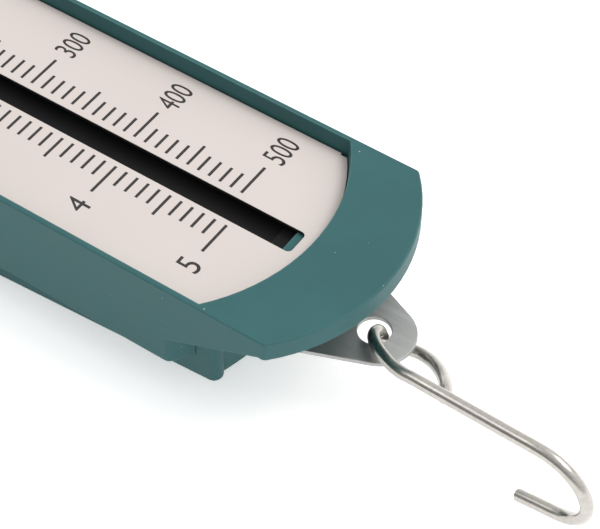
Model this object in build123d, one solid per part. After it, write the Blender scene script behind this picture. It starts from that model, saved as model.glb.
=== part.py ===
from build123d import *
import math
import os

os.makedirs("parts", exist_ok=True)

# ------------------------------------------------------------------ frame
# X across the scale (gram side +), Y along it towards the hanger with 0 at
# the zero mark, Z up from the surface that the back lies on.  Millimetres.

# ------------------------------------------------------- driving dimensions
body_width = 50.0         # across the side skirts
body_length = 240.0       # from arc to arc
low_end = -160.65         # lowest point of the chin
rim_top = 32.4            # front face of the rim above the back
chin_under = 28.1         # underside of the two chins
chin_arc = 36.2           # radius of the outer arcs
corner_round = 1.3
edge_round = 0.35

plate_face = 28.9         # printed face of the scale plate
plate_thick = 0.8
window_arc = 38.0         # radius of the inner arcs of the rim
window_low = -144.5       # lowest point of the window at the rim
rim_wall = 1.1            # rim thickness at its top
rim_draft = 0.6           # the rim is this much thicker at its foot
floor_thick = 1.8         # floor under the scale plate
floor_lip = 2.0           # floor running on under the chins

slot_half = 2.75          # slot in the scale plate
slot_low = -140.7
slot_high = 9.0
floor_slot_half = 4.2     # wider slot in the floor below it
floor_slot_low = -138.7
floor_slot_high = 13.0

skirt_z = 11.2            # lower edge of the side skirts
skirt_wall = 2.0
skirt_low = -129.1        # where the skirts end and the gussets start
skirt_round = 1.8         # rounding of the skirts' ends
skirt_edge = 0.6          # rounding of their lower edges
gusset_z = 18.3
shoulder_step = 2.9       # how far the shoulders lean towards the chins

box_half = 20.5           # rear box
box_low = -138.7
box_arc = 56.0
box_wall = 1.8
box_floor = 2.0
box_inner_round = 1.2
post_r = 1.8              # rounded posts at the four corners of the box
back_flat_low = -76.0     # the back is flat from here
back_flat_high = 6.0      # to here
back_slope = 0.0902       # and rises this much per millimetre to both ends
back_edge = 0.7           # rounding all round the back
flange_z = 12.4
flange_thick = 1.6
rail_gap = 0.25           # rails under the floor that guide the slide's head
rail_wall = 1.5
rail_deep = 6.0
rail_off_boss = 0.55      # they stand this far inside the screw bosses

seat_gap = 0.1            # between parts that are screwed or laid together
side_gap = 0.15

line_z = 15.4             # height of the line of pull
tab_thick = 1.0
tab_hole_y = -157.8
tab_hole_r = 3.2
tab_end_r = 7.9
tab_shoulder_half = 13.3
tab_shoulder_y = -142.7
strip_half = 4.4
strip_high = -104.0

travel = 130.0            # full travel of the slide
bar_half = 5.5
bar_low = -138.9
bar_top = 25.2
bar_web = 2.4
bar_leg = 1.5
head_low = 1.2
head_high = 6.0
head_z = 9.7
slide_gap = 0.1
bush_out = 0.85           # how far the bush stands out of the end wall
bush_in = 1.8             # and how far it reaches inside
bush_wall = 1.7
bush_lip = 2.4            # lip inside the wall
bush_lip_long = 0.8
pin_head = 1.4            # heads of the screws under the pull plate
pin_head_r = 2.3
pin_slot_long = 3.4
pin_slot_deep = 0.6
head_room = 1.6           # groove that they run through
bumper_gap = 0.3
bumper_wall = 2.7
bumper_corner = 0.8
pin_spots = (-131.0, -114.0)
pin_r = 1.2
pin_bite = 5.8            # how far the pins reach into the bar
pin_room = 0.7            # and how much deeper their holes are
tab_gap = 0.03            # between the pull plate and the bar on it
head_gap = 0.02           # under the heads of the small screws
stud_r = 2.0              # stud of the spring's anchor
stem_half = 2.2           # the pointer's stem in its socket
stem_long = 5.0
stem_sink = 1.8
stem_foot_gap = 0.05
socket_gap = 0.06
flag_half = 3.55
flag_gap = 0.3            # the pointer runs this far above the plate
flag_thick = 0.9

spring_wire = 0.6
spring_mean = 14.0        # mean coil diameter
spring_turns = 13
spring_low = 7.7          # where the coils start
spring_high = 45.6
coil_gap = 0.1
plug_long = 4.0
plug_disc = 1.2
plug_in = 3.6             # how deep the rod's plug sits in the spring

rod_r = 2.0               # zero adjusting rod
rod_past_nut = 3.9
rod_gap = 0.05            # in its nut, and between the nut and its seat
rod_clear = 0.15          # in the wall and the washer
nut_r = 6.0
nut_long = 6.0
nut_chamfer = 0.5
knurls = 20
knurl_r = 0.4
washer_r = 5.0
washer_thick = 1.0
pad_step = 0.8            # flat pad on the upper end wall
pad_half = 7.0
pad_high = 6.25           # above and below the line of pull

hanger_thick = 1.5
hanger_reach = 29.8       # centre of its hole past the pad
hanger_hole_r = 3.2
hanger_window = 15.3      # its window ends this far past the pad
hanger_leg = 5.1          # width of its legs
leg_gap = 0.6             # between the legs and the spring's outside
leg_inside = 16.7         # the legs end this far inside the pad
hanger_post_in = 12.2     # and their screws stand this far inside it
hanger_post_r = 2.8
hanger_pilot = 7.0        # depth of the two screws in their posts
hanger_pilot_r = 1.25
hanger_screw_r = 1.2
hanger_clear_r = 1.5
hanger_head_r = 2.45
hanger_head_long = 1.7
hanger_slot_long = 3.2
ring_r = 12.0             # to the middle of its wire
ring_wire_r = 1.1
ring_tilt = 49.0          # how the ring lies: leaning over
ring_droop = 21.5         # and sloping down from its hole
ring_offset = 0.9

hook_wire_r = 1.0
hook_long = 35.2          # straight shank
hook_bend_r = 8.44
hook_bend_deg = 171.0
hook_tip = 8.5
hook_eye_r = 5.64
hook_eye_long = 15.1
hook_yaw = 8.2            # how the hook lies: swung to -X
hook_rise = 8.75          # and raised towards its bend
hook_eye_roll = -38.0
hook_bend_roll = -86.0
hook_from_hole = (-7.34, -7.92, 5.45)
hook_eye_foot = 3.84      # the eye leaves the shank this far below its start

screw_edge = 6.0          # cover screws: from the sides of the box
screw_ys = (-112.0, 26.0)
boss_r = 3.2
boss_z = 13.2
screw_r = 1.45
screw_hole_r = 1.5
screw_head_r = 2.75
screw_head_long = 1.9
screw_sink = 0.3          # how deep the heads lie in the back
screw_sink_r = 3.0
screw_bite = 7.5          # how far the screws reach into the front bosses
cross_long = 3.0
slot_wide = 0.6           # slots of all screws
slot_deep = 0.7

rivet_x = 14.0
rivet_end = 13.2          # from the plate's upper end
rivet_r = 0.9
rivet_gap = 0.05
rivet_head_r = 1.7
rivet_head = 0.5
relief_y = -134.7         # reliefs at the plate's lower corners
relief_long = 20.0
relief = 0.45

# ------------------------------------------------------------ derived sizes
mid_y = low_end + body_length / 2
half = body_width / 2
floor_top = plate_face - plate_thick
floor_under = floor_top - floor_thick
box_top = floor_under - seat_gap
tab_low_z = line_z - tab_thick / 2
tab_high_z = line_z + tab_thick / 2
mirror_plane = Plane(origin=(0, mid_y, 0), z_dir=(0, 1, 0))
bush_low = box_low - bush_out
bush_high = box_low + box_wall + bush_in
screw_x = box_half - screw_edge
rail_in = screw_x - boss_r - rail_off_boss - rail_wall
head_half = rail_in - rail_gap
hanger_leg_in = spring_mean / 2 + spring_wire / 2 + leg_gap
hanger_half = hanger_leg_in + hanger_leg
hanger_post_x = (hanger_leg_in + hanger_half) / 2
hanger_low_z = line_z - hanger_thick / 2
hanger_high_z = line_z + hanger_thick / 2


def opposite(y):
    return 2 * mid_y - y


pad_out = opposite(box_low) + pad_step
hanger_hole_y = pad_out + hanger_reach
hanger_window_high = pad_out + hanger_window
hanger_low = pad_out - leg_inside
hanger_post_y = pad_out - hanger_post_in
rivet_y = opposite(window_low) - rivet_end


def back_z(y):
    """Height of the back's outside above the surface it lies on."""
    past_flat = max(back_flat_low - y, y - back_flat_high, 0)
    return back_slope * past_flat


def arched(half_width, low, radius):
    """Flat outline with straight sides and the same arc at both ends."""
    sag = radius - math.sqrt(radius**2 - half_width**2)
    a = low + sag
    b = opposite(a)
    return make_face(
        [
            ThreePointArc((-half_width, a), (0, low), (half_width, a)).edge(),
            Line((half_width, a), (half_width, b)).edge(),
            ThreePointArc((half_width, b), (0, opposite(low)), (-half_width, b)).edge(),
            Line((-half_width, b), (-half_width, a)).edge(),
        ]
    )


def slab(face, z0, z1):
    return Pos(0, 0, z0) * extrude(face, z1 - z0)


def block(x0, x1, y0, y1, z0, z1):
    centre = Pos((x0 + x1) / 2, (y0 + y1) / 2, (z0 + z1) / 2)
    return centre * Box(x1 - x0, y1 - y0, z1 - z0)


def rod_z(x, y, r, z0, z1):
    return Pos(x, y, (z0 + z1) / 2) * Cylinder(r, z1 - z0)


def rod_y(x, z, r, y0, y1):
    return Pos(x, (y0 + y1) / 2, z) * Rot(90, 0, 0) * Cylinder(r, y1 - y0)


def both_ends(shape):
    return shape + mirror(shape, about=mirror_plane)


def both_sides(shape):
    return shape + mirror(shape, about=Plane.YZ)


def save(name, shape):
    if isinstance(shape, (list, tuple)):
        shape = Compound(children=list(shape))
    export_step(shape, "parts/" + name + ".step")


# ------------------------------------------------------------ front housing
rim = slab(arched(half, low_end, chin_arc), chin_under, rim_top)
rim = fillet(rim.edges().filter_by(Axis.Z), corner_round)
rim = fillet(rim.faces().sort_by(Axis.Z)[-1].outer_wire().edges(), edge_round)

window_top_half = half - rim_wall
window_foot_half = window_top_half - rim_draft
window_top = Pos(0, 0, rim_top + 0.02) * arched(window_top_half, window_low, window_arc)
window_foot = Pos(0, 0, floor_top) * arched(
    window_foot_half, window_low + rim_draft, window_arc
)
window = loft([window_foot, window_top], ruled=True)

floor_plate = slab(
    arched(window_foot_half + 0.4, window_low - floor_lip, window_arc + floor_lip),
    floor_under,
    chin_under + 0.05,
)

# the side wall: skirt, gusset and rim edge in one outline
sag = chin_arc - math.sqrt(chin_arc**2 - half**2)
corner_y = low_end + sag + corner_round
wall_line = [
    (skirt_low, skirt_z),
    (skirt_low, gusset_z),
    (corner_y, chin_under),
    (corner_y, chin_under + 0.4),
]
wall_line = wall_line + [(opposite(y), z) for y, z in reversed(wall_line)]
wall_face = make_face(Polyline(*wall_line, close=True).edges())
side_wall = Plane.YZ.offset(half - skirt_wall) * extrude(wall_face, skirt_wall)

shoulder_in = box_half + side_gap
shoulder_line = Polyline(
    (half, skirt_low),
    (shoulder_in, skirt_low - shoulder_step),
    (shoulder_in, skirt_low - shoulder_step + skirt_wall),
    (half - skirt_wall, skirt_low + skirt_wall),
    (half, skirt_low + skirt_wall),
    close=True,
)
shoulder = slab(make_face(shoulder_line.edges()), skirt_z, floor_under + 0.1)


def at_skirt_end(edge):
    spot = edge @ 0.5
    off_end = min(abs(spot.Y - skirt_low), abs(spot.Y - opposite(skirt_low)))
    return abs(spot.X - half) < 0.01 and off_end < 0.01


def low_and_outside(edge):
    spot = edge @ 0.5
    return abs(spot.Z - skirt_z) < 0.01 and spot.X > half - skirt_edge


wing = side_wall + both_ends(shoulder)
wing = fillet(wing.edges().filter_by(Axis.Z).filter_by(at_skirt_end), skirt_round)
wing = fillet(wing.edges().filter_by(low_and_outside), skirt_edge)

rail = block(
    rail_in,
    rail_in + rail_wall,
    head_low - travel,
    head_high + rail_wall,
    floor_under - rail_deep,
    floor_under + 0.1,
)

front = rim + floor_plate + both_sides(wing + rail)
for x in (-screw_x, screw_x):
    for y in screw_ys:
        front += rod_z(x, y, boss_r, boss_z, floor_under + 0.1)
        front -= rod_z(x, y, screw_hole_r, boss_z - 1, boss_z + screw_bite + 1)
front -= window
front -= block(
    -floor_slot_half,
    floor_slot_half,
    floor_slot_low,
    floor_slot_high,
    floor_under - 1,
    floor_top + 1,
)
for x in (-rivet_x, rivet_x):
    front -= rod_z(
        x, rivet_y, rivet_r + rivet_gap, floor_under - 0.1, floor_top + 0.1
    )
save("front_housing", front)

# ------------------------------------------------------------- scale plate
plate_half = window_foot_half - side_gap
plate_outline = arched(plate_half, window_low + rim_draft + side_gap, window_arc)
plate = slab(plate_outline, floor_top, plate_face)
slot_mid = (slot_low + slot_high) / 2
slot_cut = Pos(0, slot_mid, plate_face) * Box(
    2 * slot_half, slot_high - slot_low, 4 * plate_thick
)
slot_cut = fillet(slot_cut.edges().filter_by(Axis.Z), 1.0)
plate -= slot_cut
plate -= both_sides(
    block(
        plate_half - relief,
        plate_half + relief,
        relief_y - relief_long,
        relief_y,
        floor_top - 1,
        plate_face + 1,
    )
)
for x in (-rivet_x, rivet_x):
    plate -= rod_z(x, rivet_y, rivet_r + rivet_gap, floor_top - 1, plate_face + 1)
save("scale_plate", plate)

rivets = []
for x in (-rivet_x, rivet_x):
    shank = rod_z(x, rivet_y, rivet_r, floor_under, plate_face + 0.1)
    cap = rod_z(x, rivet_y, rivet_head_r, plate_face, plate_face + rivet_head)
    cap = fillet(cap.edges().sort_by(Axis.Z)[-1], 0.3)
    rivets.append(shank + cap)
save("plate_rivets", rivets)

# -------------------------------------------------------------- rear cover
def above_back(low_z, high_z):
    """Everything between the back's profile, raised by low_z, and high_z."""
    first = box_low - 2
    last = opposite(first)
    line = Polyline(
        (first, back_z(first) + low_z),
        (back_flat_low, low_z),
        (back_flat_high, low_z),
        (last, back_z(last) + low_z),
        (last, high_z),
        (first, high_z),
        close=True,
    )
    return Plane.YZ.offset(-half) * extrude(make_face(line.edges()), body_width)


def round_the_back(edge):
    """Edges of the back's three faces, apart from the two creases."""
    spot = edge @ 0.5
    low = spot.Z < back_z(spot.Y) + 0.02
    off_crease = min(abs(spot.Y - back_flat_low), abs(spot.Y - back_flat_high))
    crease = abs(spot.X) < 0.02 and off_crease < 0.02
    return low and not crease


box_sag = box_arc - math.sqrt(box_arc**2 - box_half**2)
post = rod_z(box_half - post_r, box_low + box_sag, post_r, 0, box_top)
cover = slab(arched(box_half, box_low, box_arc), 0, box_top)
cover += both_sides(both_ends(post))
cover = cover & above_back(0, box_top + 1)
cover = fillet(cover.edges().filter_by(round_the_back), back_edge)
hollow = slab(
    arched(box_half - box_wall, box_low + box_wall, box_arc), 0, box_top + 1
)
hollow = fillet(hollow.edges().filter_by(Axis.Z), box_inner_round)
cover -= hollow & above_back(box_floor, box_top + 2)

flange_low = skirt_low + skirt_wall + side_gap
flange_out = half - skirt_wall - side_gap
flange = block(
    box_half - 0.5,
    flange_out,
    flange_low,
    opposite(flange_low),
    flange_z,
    flange_z + flange_thick,
)
cover += both_sides(flange)

for x in (-screw_x, screw_x):
    for y in screw_ys:
        seat_z = back_z(y) + screw_sink + screw_head_long
        cover += rod_z(x, y, boss_r, back_z(y) + box_floor - 0.5, boss_z - seat_gap)
        cover -= rod_z(x, y, screw_hole_r, seat_z - 1, boss_z)
        cover -= rod_z(x, y, screw_sink_r, -1, seat_z + seat_gap)

# guide opening in the lower end wall
bush_half = bar_half + slide_gap + bush_wall
bush_under = tab_low_z - slide_gap - head_room - bush_wall + 0.2
cover -= block(
    -bush_half - seat_gap,
    bush_half + seat_gap,
    box_low - 2,
    box_low + box_wall + 4,
    bush_under - seat_gap,
    box_top + 1,
)

# upper end wall: pad and hole for the rod, two slots for the hanger's legs
cover += block(
    -pad_half,
    pad_half,
    pad_out - pad_step - box_wall,
    pad_out,
    line_z - pad_high,
    line_z + pad_high,
)
cover -= rod_y(0, line_z, rod_r + rod_clear, pad_out - 6, pad_out + 1)
leg_slot = block(
    hanger_leg_in - seat_gap,
    hanger_half + seat_gap,
    pad_out - 9,
    pad_out + 1,
    hanger_low_z - seat_gap,
    hanger_high_z + seat_gap,
)
cover -= both_sides(leg_slot)
hanger_post_foot = back_z(hanger_post_y) + box_floor - 0.5
hanger_post_top = hanger_low_z - seat_gap
for x in (-hanger_post_x, hanger_post_x):
    cover += rod_z(
        x, hanger_post_y, hanger_post_r, hanger_post_foot, hanger_post_top
    )
    cover -= rod_z(
        x, hanger_post_y, hanger_pilot_r, hanger_post_top - hanger_pilot, hanger_low_z
    )
save("rear_cover", cover)

cover_screws = []
for x in (-screw_x, screw_x):
    for y in screw_ys:
        head_under = back_z(y) + screw_sink
        head = rod_z(x, y, screw_head_r, head_under, head_under + screw_head_long)
        shank = rod_z(
            x, y, screw_r, head_under + screw_head_long - 0.1, boss_z + screw_bite
        )
        screw = head + shank
        for turn in (0, 90):
            slot = Box(cross_long, slot_wide, 2 * slot_deep)
            screw -= Pos(x, y, head_under) * Rot(0, 0, turn) * slot
        cover_screws.append(screw)
save("cover_screws", cover_screws)

# --------------------------------------------------------------- guide bush
bush = block(-bush_half, bush_half, bush_low, bush_high, bush_under, box_top)
bush += block(
    -bush_half - bush_lip,
    bush_half + bush_lip,
    bush_high - bush_lip_long,
    bush_high,
    bush_under - 1.5,
    box_top,
)
bush -= block(
    -bar_half - slide_gap,
    bar_half + slide_gap,
    bush_low - 1,
    bush_high + 1,
    tab_low_z - slide_gap,
    bar_top + slide_gap,
)
head_groove = block(
    -pin_head_r - 0.3,
    pin_head_r + 0.3,
    bush_low - 1,
    head_low,
    tab_low_z - head_room,
    tab_low_z + 0.2,
)
bush -= head_groove
save("guide_bush", bush)

# ------------------------------------------------------------ travel bumper
bumper_high = head_low - travel - bumper_gap
bumper_half = bar_half + bumper_gap + bumper_wall
bumper = block(
    -bumper_half,
    bumper_half,
    bush_high + seat_gap,
    bumper_high,
    bush_under,
    bar_top + 0.4,
)
bumper = fillet(bumper.edges().filter_by(Axis.Y), bumper_corner)
bumper -= block(
    -bar_half - bumper_gap,
    bar_half + bumper_gap,
    bush_high - 1,
    bumper_high + 1,
    tab_low_z - bumper_gap,
    bar_top + 1,
)
bumper -= head_groove
save("travel_bumper", bumper)

# --------------------------------------------------------- slide and pointer
bar_under = tab_high_z + tab_gap
pin_high = bar_under + pin_bite
bar = block(-bar_half, bar_half, bar_low, head_low + 0.1, bar_under, bar_top)
bar -= block(
    -bar_half + bar_leg,
    bar_half - bar_leg,
    strip_high,
    head_low,
    bar_under - 1,
    bar_top - bar_web,
)
bar += block(-head_half, head_half, head_low, head_high, head_z, bar_top)
bar -= rod_y(0, line_z, stud_r + rod_gap, head_low - 1, head_high + 1)
for y in pin_spots:
    bar -= rod_z(0, y, pin_r + rod_gap, bar_under - 1, pin_high + pin_room)
bar -= block(
    -stem_half - socket_gap,
    stem_half + socket_gap,
    -stem_long / 2 - socket_gap,
    stem_long / 2 + socket_gap,
    bar_top - stem_sink,
    bar_top + 1,
)
save("slide_bar", bar)

flag_z = plate_face + flag_gap
flag_top = flag_z + flag_thick
stem = block(
    -stem_half,
    stem_half,
    -stem_long / 2,
    stem_long / 2,
    bar_top - stem_sink + stem_foot_gap,
    flag_top,
)
flag_line = Polyline(
    (flag_half, 0),
    (stem_half, stem_long / 2),
    (-stem_half, stem_long / 2),
    (-flag_half, 0),
    (-stem_half, -stem_long / 2),
    (stem_half, -stem_long / 2),
    close=True,
)
flag = slab(make_face(flag_line.edges()), flag_z, flag_top)
save("pointer", stem + flag)

# --------------------------------------------------------------- pull plate
tab = rod_z(0, tab_hole_y, tab_end_r, tab_low_z, tab_high_z)
flank_line = Polyline(
    (-tab_end_r, tab_hole_y),
    (tab_end_r, tab_hole_y),
    (tab_shoulder_half, tab_shoulder_y),
    (-tab_shoulder_half, tab_shoulder_y),
    close=True,
)
tab += slab(make_face(flank_line.edges()), tab_low_z, tab_high_z)
tab += block(
    -strip_half, strip_half, tab_shoulder_y - 1, strip_high, tab_low_z, tab_high_z
)
tab -= rod_z(0, tab_hole_y, tab_hole_r, tab_low_z - 1, tab_high_z + 1)
for y in pin_spots:
    tab -= rod_z(0, y, pin_r + rod_gap, tab_low_z - 1, tab_high_z + 1)
save("pull_plate", tab)

slide_screws = []
for y in pin_spots:
    head_top = tab_low_z - head_gap
    head = rod_z(0, y, pin_head_r, head_top - pin_head, head_top)
    shank = rod_z(0, y, pin_r, head_top - 0.1, pin_high)
    slot = Box(pin_slot_long, slot_wide, 2 * pin_slot_deep)
    screw = head + shank
    screw -= Pos(0, y, head_top - pin_head) * slot
    slide_screws.append(screw)
save("slide_screws", slide_screws)

# -------------------------------------------- spring, its anchor, zero rod
plug_r = spring_mean / 2 - spring_wire / 2 - coil_gap
disc_r = spring_mean / 2 + spring_wire / 2
anchor = rod_y(0, line_z, stud_r, head_low + 0.3, head_high + 0.2)
anchor += rod_y(0, line_z, disc_r, head_high + 0.05, head_high + 0.05 + plug_disc)
anchor += rod_y(
    0, line_z, plug_r, head_high + plug_disc, head_high + plug_disc + plug_long
)
save("spring_anchor", anchor)

coil_start = spring_low + spring_wire / 2
coil_long = spring_high - spring_low - spring_wire
pitch = coil_long / spring_turns
coil = Helix(pitch, coil_long, spring_mean / 2)
section = Plane(origin=coil @ 0, z_dir=coil % 0) * Circle(spring_wire / 2)
spring = sweep(section, path=coil, is_frenet=True)
spring = Pos(0, coil_start, line_z) * Rot(-90, 0, 0) * spring
save("main_spring", spring)

rod_plug_low = spring_high - plug_in
rod = rod_y(0, line_z, plug_r, rod_plug_low, rod_plug_low + plug_long)
disc_low = rod_plug_low + plug_long - 0.05
rod += rod_y(0, line_z, disc_r, disc_low, disc_low + plug_disc)
washer_low = pad_out + rod_gap
nut_low = washer_low + washer_thick + rod_gap
rod_high = nut_low + nut_long + rod_past_nut
stem_rod = rod_y(0, line_z, rod_r, disc_low, rod_high)
stem_rod = chamfer(stem_rod.edges().sort_by(Axis.Y)[-1], nut_chamfer)
rod += stem_rod
save("zero_screw", rod)

washer = rod_y(0, line_z, washer_r, washer_low, washer_low + washer_thick)
washer -= rod_y(0, line_z, rod_r + rod_clear, washer_low - 1, nut_low + 1)
save("nut_washer", washer)

nut = rod_y(0, line_z, nut_r, nut_low, nut_low + nut_long)
nut = chamfer(nut.edges().filter_by(GeomType.CIRCLE), nut_chamfer)
nut -= rod_y(0, line_z, rod_r + rod_gap, nut_low - 1, nut_low + nut_long + 1)
for i in range(knurls):
    a = math.radians(360 / knurls * i)
    x = nut_r * math.sin(a)
    z = nut_r * math.cos(a)
    nut -= rod_y(x, line_z + z, knurl_r, nut_low - 1, nut_low + nut_long + 1)
save("zero_nut", nut)

# ------------------------------------------------------------------- hanger
hanger = rod_z(0, hanger_hole_y, tab_end_r, hanger_low_z, hanger_high_z)
hanger_line = Polyline(
    (tab_end_r, hanger_hole_y),
    (-tab_end_r, hanger_hole_y),
    (-hanger_half, hanger_window_high),
    (-hanger_half, hanger_low),
    (hanger_half, hanger_low),
    (hanger_half, hanger_window_high),
    close=True,
)
hanger += slab(make_face(hanger_line.edges()), hanger_low_z, hanger_high_z)
hanger -= block(
    -hanger_leg_in,
    hanger_leg_in,
    hanger_low - 1,
    hanger_window_high,
    hanger_low_z - 1,
    hanger_high_z + 1,
)
hanger -= rod_z(0, hanger_hole_y, hanger_hole_r, hanger_low_z - 1, hanger_high_z + 1)
for x in (-hanger_post_x, hanger_post_x):
    hanger -= rod_z(
        x, hanger_post_y, hanger_clear_r, hanger_low_z - 1, hanger_high_z + 1
    )
save("hanger_plate", hanger)

hanger_screws = []
for x in (-hanger_post_x, hanger_post_x):
    under = hanger_high_z + head_gap
    head_top = under + hanger_head_long
    head = rod_z(x, hanger_post_y, hanger_head_r, under, head_top)
    head = fillet(head.edges().sort_by(Axis.Z)[-1], 0.6)
    shank_low = hanger_post_top - hanger_pilot + 0.5
    shank = rod_z(x, hanger_post_y, hanger_screw_r, shank_low, under + 0.1)
    screw = head + shank
    slot = Box(slot_wide, hanger_slot_long, 2 * slot_deep)
    screw -= Pos(x, hanger_post_y, head_top) * slot
    hanger_screws.append(screw)
save("hanger_screws", hanger_screws)

ring = Pos(0, ring_r, 0) * Rot(0, ring_tilt, 0) * Torus(ring_r, ring_wire_r)
ring = Pos(0, hanger_hole_y + ring_offset, line_z) * Rot(-ring_droop, 0, 0) * ring
save("hanger_ring", ring)

# ---------------------------------------------------------------- load hook
yaw = math.radians(hook_yaw)
rise = math.radians(hook_rise)
along = Vector(
    -math.sin(yaw) * math.cos(rise), -math.cos(yaw) * math.cos(rise), math.sin(rise)
)
across = (Vector(1, 0, 0) - along * along.X).normalized()
upward = along.cross(across)


def side_way(roll):
    a = math.radians(roll)
    return across * math.cos(a) + upward * math.sin(a)


def wire(path_edges):
    path = Wire(path_edges)
    return sweep(Plane(origin=path @ 0, z_dir=path % 0) * Circle(hook_wire_r), path=path)


def arc(start, way, turn, radius, degrees):
    """Edge that leaves start along way and turns towards turn."""
    def spot(a):
        a = math.radians(a)
        return start + way * (radius * math.sin(a)) + turn * (radius * (1 - math.cos(a)))

    end_way = way * math.cos(math.radians(degrees)) + turn * math.sin(math.radians(degrees))
    return Edge.make_three_point_arc(start, spot(degrees / 2), spot(degrees)), spot(degrees), end_way


eye_way = side_way(hook_eye_roll)
bend_way = side_way(hook_bend_roll)
shank_low = Vector(0, tab_hole_y, line_z) + Vector(*hook_from_hole)
eye_foot = shank_low - along * hook_eye_foot
shank_high = shank_low + along * hook_long
bend, bend_end, tip_way = arc(shank_high, along, bend_way, hook_bend_r, hook_bend_deg)
tip_end = bend_end + tip_way * hook_tip
eye_top, eye_far, back_way = arc(eye_foot, -along, eye_way, hook_eye_r, 180)
front_part = wire(
    [
        Edge.make_line(tip_end, bend_end),
        bend,
        Edge.make_line(shank_high, eye_foot),
        eye_top,
    ]
)
# the eye closes with a wider arc that comes back to the shank
drop = 2 * hook_eye_r - hook_wire_r
close_r = (hook_eye_long**2 + drop**2) / (2 * drop)
close_deg = math.degrees(math.atan2(hook_eye_long, close_r - drop))
close_edge, close_end, close_way = arc(eye_far, along, -eye_way, close_r, close_deg)
hook = front_part + wire([close_edge])
save("load_hook", hook)
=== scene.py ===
import math
import bmesh
import bpy
from mathutils import Matrix, Vector


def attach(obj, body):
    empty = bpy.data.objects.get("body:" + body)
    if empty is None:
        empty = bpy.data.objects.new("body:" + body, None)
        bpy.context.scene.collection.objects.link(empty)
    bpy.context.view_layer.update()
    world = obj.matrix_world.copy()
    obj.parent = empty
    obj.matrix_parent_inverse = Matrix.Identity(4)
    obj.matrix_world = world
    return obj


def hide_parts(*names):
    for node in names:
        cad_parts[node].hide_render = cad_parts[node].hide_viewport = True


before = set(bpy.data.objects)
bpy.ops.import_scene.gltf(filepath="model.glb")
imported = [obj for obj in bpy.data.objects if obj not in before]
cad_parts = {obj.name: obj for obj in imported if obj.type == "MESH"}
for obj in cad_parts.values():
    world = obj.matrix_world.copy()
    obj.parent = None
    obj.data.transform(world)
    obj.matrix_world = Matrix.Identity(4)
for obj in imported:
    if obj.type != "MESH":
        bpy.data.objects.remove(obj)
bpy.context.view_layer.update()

# Lengths below are in mm, unless a name or a comment says metres. X is across, Y along, Z up.
MM = 0.001


# ---------------------------------------------------------------- materials
def material(name, colour, rough, metal=0.0):
    m = bpy.data.materials.new(name)
    m.use_nodes = True
    nt = m.node_tree
    s = nt.nodes["Principled BSDF"]
    s.inputs["Base Color"].default_value = (*colour, 1)
    s.inputs["Roughness"].default_value = rough
    s.inputs["Metallic"].default_value = metal
    return m, nt, s


def coords(nt, scale=(1, 1, 1)):
    """Object coordinates in metres, stretched by scale."""
    tc = nt.nodes.new("ShaderNodeTexCoord")
    mp = nt.nodes.new("ShaderNodeMapping")
    mp.inputs["Scale"].default_value = scale
    nt.links.new(tc.outputs["Object"], mp.inputs["Vector"])
    return mp.outputs["Vector"]


def noise(nt, vec, scale, detail=3, rough=0.5):
    n = nt.nodes.new("ShaderNodeTexNoise")
    n.inputs["Scale"].default_value = scale
    n.inputs["Detail"].default_value = detail
    n.inputs["Roughness"].default_value = rough
    nt.links.new(vec, n.inputs["Vector"])
    return n.outputs["Fac"]


def ramp(nt, fac, stops):
    """Colour of fac between stops, each a position and a colour."""
    r = nt.nodes.new("ShaderNodeValToRGB")
    e = r.color_ramp.elements
    e[0].position, e[0].color = stops[0][0], (*stops[0][1], 1)
    e[1].position, e[1].color = stops[-1][0], (*stops[-1][1], 1)
    for p, c in stops[1:-1]:
        k = e.new(p)
        k.color = (*c, 1)
    nt.links.new(fac, r.inputs["Fac"])
    return r.outputs["Color"]


def span(nt, fac, lo, hi, a=0.0, b=1.0):
    """fac from lo to hi turned into a to b, and held there outside."""
    r = nt.nodes.new("ShaderNodeMapRange")
    for k, v in zip(("From Min", "From Max", "To Min", "To Max"), (lo, hi, a, b)):
        r.inputs[k].default_value = v
    nt.links.new(fac, r.inputs["Value"])
    return r.outputs["Result"]


def mix(nt, fac, a, b, mode="MIX"):
    """Two colours blended; each of fac, a and b is a value or a socket."""
    m = nt.nodes.new("ShaderNodeMix")
    m.data_type = "RGBA"
    m.blend_type = mode
    for k, v in ((0, fac), (6, a), (7, b)):
        if hasattr(v, "default_value") or hasattr(v, "is_linked"):
            nt.links.new(v, m.inputs[k])
        else:
            m.inputs[k].default_value = v if k == 0 else (*v, 1)
    return m.outputs[2]


def bump(nt, shader, height, strength, distance):
    b = nt.nodes.new("ShaderNodeBump")
    b.inputs["Strength"].default_value = strength
    b.inputs["Distance"].default_value = distance
    nt.links.new(height, b.inputs["Height"])
    nt.links.new(b.outputs["Normal"], shader.inputs["Normal"])


def edges(nt, radius, lo=0.002, hi=0.12):
    """1 along the edges of a piece, 0 on its faces."""
    bevel = nt.nodes.new("ShaderNodeBevel")
    bevel.samples = 4
    bevel.inputs["Radius"].default_value = radius
    geo = nt.nodes.new("ShaderNodeNewGeometry")
    dot = nt.nodes.new("ShaderNodeVectorMath")
    dot.operation = "DOT_PRODUCT"
    nt.links.new(bevel.outputs["Normal"], dot.inputs[0])
    nt.links.new(geo.outputs["Normal"], dot.inputs[1])
    return span(nt, dot.outputs["Value"], 1 - lo, 1 - hi)


def nook(nt, distance, dark=0.5):
    """Painted shade from ambient occlusion: 1 in the open, down to dark in corners and beside walls."""
    ao = nt.nodes.new("ShaderNodeAmbientOcclusion")
    ao.samples = 8
    ao.inputs["Distance"].default_value = distance
    return span(nt, ao.outputs["AO"], 0.35, 0.95, dark, 1.0)


def grey(nt, fac):
    c = nt.nodes.new("ShaderNodeCombineColor")
    for k in ("Red", "Green", "Blue"):
        nt.links.new(fac, c.inputs[k])
    return c.outputs["Color"]


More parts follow.
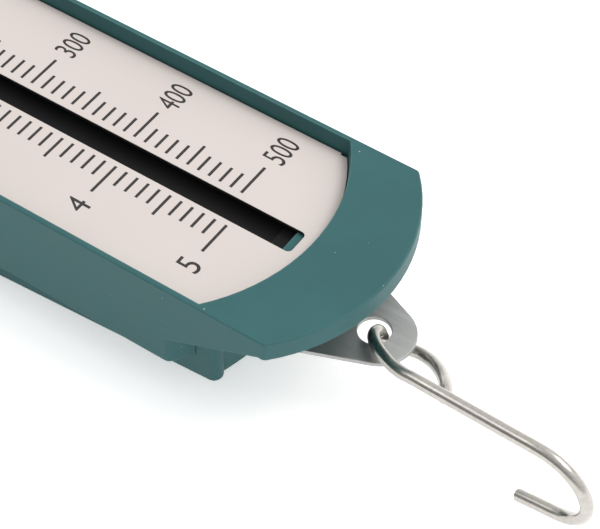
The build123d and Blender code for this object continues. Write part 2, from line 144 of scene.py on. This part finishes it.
def plastic(name, colour, rough, grain=2600, specks_and_edge_sheen=0.0, gloss=0.25):
    m, nt, s = material(name, colour, rough)
    v = coords(nt)
    cloud = noise(nt, v, 55, 4, 0.6)
    lo = tuple(c * 0.93 for c in colour)
    hi = tuple(min(1, c * 1.07) for c in colour)
    col = ramp(nt, cloud, [(0.3, lo), (0.7, hi)])
    if specks_and_edge_sheen:
        specks = span(nt, noise(nt, v, 1300, 1, 0.3), 0.822, 0.834)
        col = mix(nt, specks, col, (0.40, 0.46, 0.46))
        # Painted highlight: the edges are lightened toward a paler teal, by an amount that varies along them,
        # in place of light catching rounded edges.
        edge_sheen_strength = span(nt, noise(nt, v, 260, 3, 0.6), 0.35, 0.65, 0.25 * specks_and_edge_sheen, specks_and_edge_sheen)
        edge_sheen = nt.nodes.new("ShaderNodeMath")
        edge_sheen.operation = "MULTIPLY"
        nt.links.new(edges(nt, 0.00045), edge_sheen.inputs[0])
        nt.links.new(edge_sheen_strength, edge_sheen.inputs[1])
        col = mix(nt, edge_sheen.outputs[0], col, tuple(c * 1.5 + 0.10 for c in colour))
    # Painted shade: corners and the feet of walls are darkened in the colour.
    col = mix(nt, 1.0, col, grey(nt, nook(nt, 0.0012, 0.62)), "MULTIPLY")
    nt.links.new(col, s.inputs["Base Color"])
    nt.links.new(span(nt, cloud, 0.3, 0.7, rough - 0.05, rough + 0.06), s.inputs["Roughness"])
    bump(nt, s, noise(nt, v, grain, 3, 0.6), 0.12, 0.00006)
    s.inputs["Specular IOR Level"].default_value = gloss
    return m


def steel(name, colour, rough, stretch, streak=0.05):
    m, nt, s = material(name, colour, rough, 1.0)
    v = coords(nt, stretch)
    fine = noise(nt, v, 900, 4, 0.7)
    wide = noise(nt, coords(nt), 90, 3, 0.5)
    lo = tuple(c * 0.82 for c in colour)
    nt.links.new(ramp(nt, fine, [(0.3, lo), (0.7, colour)]), s.inputs["Base Color"])
    nt.links.new(span(nt, wide, 0.3, 0.7, rough - streak, rough + streak), s.inputs["Roughness"])
    bump(nt, s, fine, 0.10, 0.00004)
    return m


TEAL = plastic("teal_moulding", (0.031, 0.106, 0.110), 0.5, specks_and_edge_sheen=0.5, gloss=0.2)
BLACK = plastic("black_moulding", (0.012, 0.012, 0.013), 0.6, gloss=0.12)
RED = plastic("red_pointer", (0.55, 0.025, 0.018), 0.35)
RUBBER = plastic("black_rubber", (0.014, 0.014, 0.015), 0.85)
TAB_STEEL = steel("brushed_sheet", (0.47, 0.47, 0.46), 0.58, (1, 0.06, 1))
WIRE_STEEL = steel("bright_wire", (0.50, 0.475, 0.44), 0.23, (1, 1, 1), 0.05)
SCREW_STEEL = steel("nickel_screw", (0.60, 0.58, 0.54), 0.24, (1, 1, 1))
BRASS = steel("turned_brass", (0.66, 0.46, 0.17), 0.26, (0.2, 1, 0.2))


def printed_sheet(name):
    """Off-white lacquer, with painted shade: near-black on the lower part of its cut faces, and darker in
    corners.
    """
    m, nt, s = material(name, PLATE_LIGHT, 0.55)
    v = coords(nt)
    tone = ramp(nt, noise(nt, v, 22, 3, 0.5), [(0.3, PLATE_DARK), (0.7, PLATE_LIGHT)])
    geo = nt.nodes.new("ShaderNodeNewGeometry")
    place = nt.nodes.new("ShaderNodeSeparateXYZ")
    facing = nt.nodes.new("ShaderNodeSeparateXYZ")
    nt.links.new(v, place.inputs[0])
    nt.links.new(geo.outputs["Normal"], facing.inputs[0])
    # Painted shade: the cut faces below this height are made near-black.
    edge_shade = nt.nodes.new("ShaderNodeMath")
    edge_shade.operation = "MULTIPLY"
    nt.links.new(span(nt, facing.outputs["Z"], 0.5, 0.4), edge_shade.inputs[0])
    nt.links.new(span(nt, place.outputs["Z"], EDGE_SHADE_TOP + 0.00002, EDGE_SHADE_TOP - 0.00002), edge_shade.inputs[1])
    tone = mix(nt, edge_shade.outputs[0], tone, (0.010, 0.010, 0.011))
    # Painted shade: corners and the foot of the walls are darkened in the colour.
    tone = mix(nt, 1.0, tone, grey(nt, nook(nt, 0.0022, 0.62)), "MULTIPLY")
    nt.links.new(tone, s.inputs["Base Color"])
    bump(nt, s, noise(nt, v, 1800, 2, 0.5), 0.06, 0.00004)
    return m


def ink(name):
    m, nt, s = material(name, INK_DARK, 0.6)
    cloud = noise(nt, coords(nt), 1400, 3, 0.6)
    nt.links.new(ramp(nt, cloud, [(0.3, INK_DARK), (0.75, INK_LIGHT)]), s.inputs["Base Color"])
    return m


PLATE_DARK, PLATE_LIGHT = (0.556, 0.500, 0.474), (0.582, 0.524, 0.496)
EDGE_SHADE_TOP = 0.02876  # metres: height below which the plate's cut faces are painted near-black as shade
PLATE = printed_sheet("printed_plate")
INK_DARK, INK_LIGHT = (0.010, 0.008, 0.008), (0.022, 0.018, 0.018)
INK = ink("scale_ink")

LOOKS = {
    "front_housing": TEAL,
    "rear_cover": TEAL,
    "scale_plate": PLATE,
    "plate_rivets": SCREW_STEEL,
    "slide_bar": BLACK,
    "pointer": RED,
    "pull_plate": TAB_STEEL,
    "slide_screws": SCREW_STEEL,
    "guide_bush": BLACK,
    "travel_bumper": RUBBER,
    "spring_anchor": BRASS,
    "main_spring": WIRE_STEEL,
    "zero_screw": BRASS,
    "zero_nut": BRASS,
    "nut_washer": SCREW_STEEL,
    "hanger_plate": TAB_STEEL,
    "hanger_screws": SCREW_STEEL,
    "hanger_ring": WIRE_STEEL,
    "load_hook": WIRE_STEEL,
    "cover_screws": SCREW_STEEL,
}
for name, look in LOOKS.items():
    ob = bpy.data.objects[name]
    for slot in ob.material_slots:
        slot.material = look


# ---------------------------------------------------------------- pull plate
def stamped(name, outline, holes, low, high, edge):
    """Sheet metal blank with its rims rounded: outline and holes in mm."""
    bm = bmesh.new()
    rims = []
    for loop in [outline] + holes:
        vs = [bm.verts.new((x * MM, y * MM, low * MM)) for x, y in loop]
        rims += [bm.edges.new((vs[i - 1], vs[i])) for i in range(len(vs))]
    flat = bmesh.ops.triangle_fill(bm, use_beauty=True, use_dissolve=False, edges=rims)
    faces = [f for f in flat["geom"] if isinstance(f, bmesh.types.BMFace)]
    raised = bmesh.ops.extrude_face_region(bm, geom=faces, use_keep_orig=True)
    top = [p for p in raised["geom"] if isinstance(p, bmesh.types.BMVert)]
    bmesh.ops.translate(bm, verts=top, vec=(0, 0, (high - low) * MM))
    bmesh.ops.dissolve_limit(bm, angle_limit=0.01, verts=bm.verts, edges=bm.edges)
    bmesh.ops.recalc_face_normals(bm, faces=bm.faces)
    me = bpy.data.meshes.new(name)
    bm.to_mesh(me)
    bm.free()
    ob = bpy.data.objects.new(name, me)
    bpy.context.collection.objects.link(ob)
    rim = ob.modifiers.new("rim", "BEVEL")
    rim.width = edge * MM
    rim.segments = 3
    rim.limit_method = "ANGLE"
    rim.angle_limit = math.radians(50)
    return ob


def arc_points(x, y, r, first, last, steps):
    turns = [math.radians(first + (last - first) * i / steps) for i in range(steps + 1)]
    return [(x + r * math.cos(a), y + r * math.sin(a)) for a in turns]


def round_hole(y, r, points):
    """A hole on the centre line; its last point stops short of the first."""
    return arc_points(0, y, r, 0, 360 - 360 / points, points - 1)


HOLE_Y, HOLE_R = -157.8, 3.2
TAB_END_Y, TAB_END_R = -158.7, 7.2  # the rounded end of the tab
FLANK = 21.8  # degrees by which each flank leans to the centre line
SHOULDER_X, SHOULDER_LOW, SHOULDER_HIGH = 13.3, -144.8, -142.7
STRIP_X, STRIP_TOP = 4.4, -104.0
SCREW_R, SCREW_YS = 1.25, (-131, -114)
SHEET_LOW, SHEET_HIGH, SHEET_EDGE = 14.9, 15.9, 0.22


def pull_tab():
    right_side = [
        (STRIP_X, STRIP_TOP),
        (STRIP_X, SHOULDER_HIGH),
        (SHOULDER_X, SHOULDER_HIGH),
        (SHOULDER_X, SHOULDER_LOW),
    ]
    left_side = [(-x, y) for x, y in reversed(right_side)]
    end = arc_points(0, TAB_END_Y, TAB_END_R, -FLANK, FLANK - 180, 40)
    holes = [round_hole(HOLE_Y, HOLE_R, 48)] + [round_hole(y, SCREW_R, 24) for y in SCREW_YS]
    tab = stamped("pull_tab", right_side + end + left_side, holes, SHEET_LOW, SHEET_HIGH, SHEET_EDGE)
    tab.data.materials.append(TAB_STEEL)
    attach(tab, "slide")
    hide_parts("pull_plate")


pull_tab()

# ----------------------------------------------------------------- load hook
WIRE_R = 1.25
FOOT = Vector((-7.34, -165.72, 19.10))  # where the straight shank starts
SHANK = 34.5
YAW, RISE = math.radians(8.2), math.radians(10.55)  # the shank's turn to the left, and its climb
BEND_R, BEND = 8.6, 171
BEND_LEAN = math.radians(86)  # how steeply the bend's plane stands
TIP = 9.4
# The eye's points are a list: from the shank through the tab's hole and back.
EYE = (
    (-5.9, -163.3, 19.0),
    (-4.4, -160.9, 18.7),
    (-2.6, -159.3, 18.2),
    (-1.0, -158.9, 17.4),
    (-0.1, -158.95, 16.5),
    (0.15, -159.3, 15.3),
    (0.7, -160.15, 13.5),
    (2.2, -162.7, 12.0),
    (2.9, -165.4, 11.9),
    (2.1, -168.4, 12.9),
    (0.3, -171.4, 14.4),
    (-2.6, -174.4, 16.3),
    (-5.4, -176.4, 18.0),
    (-7.9, -177.7, 18.95),
)


def hook_route():
    """Points of the wire's centre line, from the hook's tip to the eye's end."""
    along = Vector((-math.sin(YAW) * math.cos(RISE), -math.cos(YAW) * math.cos(RISE), math.sin(RISE)))
    across = (Vector((1, 0, 0)) - along * along.x).normalized()
    inward = across * math.cos(BEND_LEAN) - along.cross(across) * math.sin(BEND_LEAN)
    top = FOOT + along * SHANK
    turns = [math.radians(BEND * i / 12) for i in range(13)]
    bend = [top + along * (BEND_R * math.sin(a)) + inward * (BEND_R * (1 - math.cos(a))) for a in turns]
    tip_way = along * math.cos(turns[-1]) + inward * math.sin(turns[-1])
    tip = [bend[-1] + tip_way * k for k in (TIP, 6, 3)]
    shank = [FOOT + along * k for k in (29, 23, 17, 11, 6, 2)]
    return tip + bend[::-1] + shank + [Vector(p) for p in EYE]


def wire_hook():
    route = hook_route()
    wire = bpy.data.curves.new("wire_hook", "CURVE")
    wire.dimensions = "3D"
    wire.bevel_depth = WIRE_R * MM
    wire.bevel_resolution = 6
    wire.resolution_u = 6
    wire.use_fill_caps = True
    line = wire.splines.new("BEZIER")
    line.bezier_points.add(len(route) - 1)
    for point, at in zip(line.bezier_points, route):
        point.co = at * MM
        point.handle_left_type = point.handle_right_type = "AUTO"
    wire.materials.append(WIRE_STEEL)
    hook = bpy.data.objects.new("wire_hook", wire)
    bpy.context.collection.objects.link(hook)
    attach(hook, "hook")
    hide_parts("load_hook")


wire_hook()

# ------------------------------------------------------------ printed scales
FACE = 28.9 * MM
PRINT = 0.02 * MM  # thickness of the ink
PER_GRAM = 25.0 / 100
GRAM_PER_NEWTON = 101.972
MARK = 0.60  # width of a mark
STEPS = 50  # marks after zero on each scale
FIGURE = 5.1  # height of the figures


def printed(name, quads):
    """Ink marks as thin raised boxes on the plate: x0, x1, y0, y1 in mm."""
    bm = bmesh.new()
    for x0, x1, y0, y1 in quads:
        box = bmesh.ops.create_cube(bm, size=1)
        size = Matrix.Diagonal(((x1 - x0) * MM, (y1 - y0) * MM, PRINT, 1))
        place = Matrix.Translation(((x0 + x1) / 2 * MM, (y0 + y1) / 2 * MM, FACE + PRINT / 2))
        bmesh.ops.transform(bm, matrix=place @ size, verts=box["verts"])
    me = bpy.data.meshes.new(name)
    bm.to_mesh(me)
    bm.free()
    ob = bpy.data.objects.new(name, me)
    bpy.context.collection.objects.link(ob)
    me.materials.append(INK)
    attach(ob, "housing")
    return ob


def word(name, text, x, y, height, align="LEFT", squeeze=0.8):
    """Printed text whose figures are height tall, centred on y."""
    cu = bpy.data.curves.new(name, "FONT")
    cu.body = text
    cu.size = height / 0.73 * MM
    cu.align_x = align
    cu.extrude = PRINT / 2
    tmp = bpy.data.objects.new(name + "_curve", cu)
    bpy.context.collection.objects.link(tmp)
    me = bpy.data.meshes.new_from_object(tmp.evaluated_get(bpy.context.evaluated_depsgraph_get()))
    bpy.data.objects.remove(tmp)
    me.name = name
    ys = [p.co.y for p in me.vertices]
    shift = Matrix.Translation((0, -(min(ys) + max(ys)) / 2, 0))
    place = Matrix.Translation((x * MM, y * MM, FACE + PRINT / 2))
    me.transform(place @ Matrix.Diagonal((squeeze, 1, 1, 1)) @ shift)
    ob = bpy.data.objects.new(name, me)
    bpy.context.collection.objects.link(ob)
    me.materials.clear()
    me.materials.append(INK)
    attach(ob, "housing")
    return ob


def scale_marks(name, step, inner, long, middle, short, side):
    """Marks from zero up, step mm apart: each tenth is long and each fifth middling."""
    quads = []
    for i in range(STEPS + 1):
        y = -i * step
        outer = long if i % 10 == 0 else middle if i % 5 == 0 else short
        near, far = sorted((side * inner, side * outer))
        quads.append((near, far, y - MARK / 2, y + MARK / 2))
    printed(name, quads)


scale_marks("gram_marks", 10 * PER_GRAM, 4.18, 11.84, 9.86, 8.26, 1)
scale_marks("newton_marks", GRAM_PER_NEWTON / 10 * PER_GRAM, 3.84, 11.46, 9.52, 7.92, -1)
for k in range(6):
    word(f"gram_{k * 100}", str(k * 100), 13.7, -k * 100 * PER_GRAM - 0.1, FIGURE, squeeze=0.64)
    word(f"newton_{k}", str(k), -13.9, -k * GRAM_PER_NEWTON * PER_GRAM, FIGURE, "RIGHT", 0.84)
word("unit_gram", "g", 8.0, 14.5, 4.6, "CENTER")
word("unit_newton", "N", -8.0, 14.5, 5.0, "CENTER")

# ------------------------------------------------------------ floor and light
def pale_floor():
    bpy.ops.mesh.primitive_plane_add(size=6, location=(0, 0, 0))
    floor = bpy.context.object
    floor.name = "floor"
    m, nt, s = material("pale_floor", (0.90, 0.90, 0.90), 0.9)
    s.inputs["Specular IOR Level"].default_value = 0.1
    s.inputs["Emission Color"].default_value = (1, 1, 1, 1)
    s.inputs["Emission Strength"].default_value = 0.45
    floor.data.materials.append(m)


def studio():
    """White surroundings, brighter toward one side."""
    world = bpy.data.worlds.new("studio")
    bpy.context.scene.world = world
    world.use_nodes = True
    sky = world.node_tree
    ground = sky.nodes["Background"]
    ground.inputs["Color"].default_value = (1, 1, 1, 1)
    ray = sky.nodes.new("ShaderNodeTexCoord")
    tilt = sky.nodes.new("ShaderNodeVectorMath")
    tilt.operation = "DOT_PRODUCT"
    tilt.inputs[1].default_value = (0.42, -0.22, 0.33)
    sky.links.new(ray.outputs["Generated"], tilt.inputs[0])
    sky.links.new(span(sky, tilt.outputs["Value"], -1, 1, -0.28, 1.72), ground.inputs["Strength"])


def soft_light(name, place, aim, size, power):
    """An area light; place, aim and size are in metres."""
    data = bpy.data.lights.new(name, "AREA")
    data.shape = "RECTANGLE"
    data.size, data.size_y = size
    data.energy = power
    ob = bpy.data.objects.new(name, data)
    ob.location = place
    ob.rotation_euler = (Vector(aim) - Vector(place)).to_track_quat("-Z", "Y").to_euler()
    bpy.context.collection.objects.link(ob)


pale_floor()
studio()
soft_light("key", (0.45, -0.55, 1.1), (0, -0.05, 0), (0.9, 0.6), 7)
soft_light("fill", (-0.2, 0.9, 1.0), (0, -0.1, 0.01), (0.8, 0.5), 2)

# ------------------------------------------------------------------- camera
# Fitted to the printed scales in the photograph: where the camera stands, in metres, and how it is turned.
CAMERA_AT = Vector((-0.208646, -0.282585, 0.323460))
CAMERA_RIGHT = Vector((0.567057, -0.823654, 0.006360))
CAMERA_BACK = Vector((-0.532436, -0.360650, 0.765796))
HALF_PIXEL = 0.000234  # turn to the right, as a pixel's middle is half a pixel past its number
LENS, SENSOR = 128.13, 36.0


def photo_camera():
    cam = bpy.data.cameras.new("camera")
    cam.sensor_fit = "HORIZONTAL"
    cam.sensor_width = SENSOR
    cam.lens = LENS
    cam.clip_start = 0.01
    camera = bpy.data.objects.new("camera", cam)
    bpy.context.collection.objects.link(camera)
    back = (CAMERA_BACK + HALF_PIXEL * CAMERA_RIGHT).normalized()
    up = back.cross(CAMERA_RIGHT).normalized()
    turn = Matrix((up.cross(back), up, back)).transposed().to_4x4()
    camera.matrix_world = Matrix.Translation(CAMERA_AT) @ turn
    bpy.context.scene.camera = camera


photo_camera()
bpy.context.scene.view_settings.view_transform = "Standard"
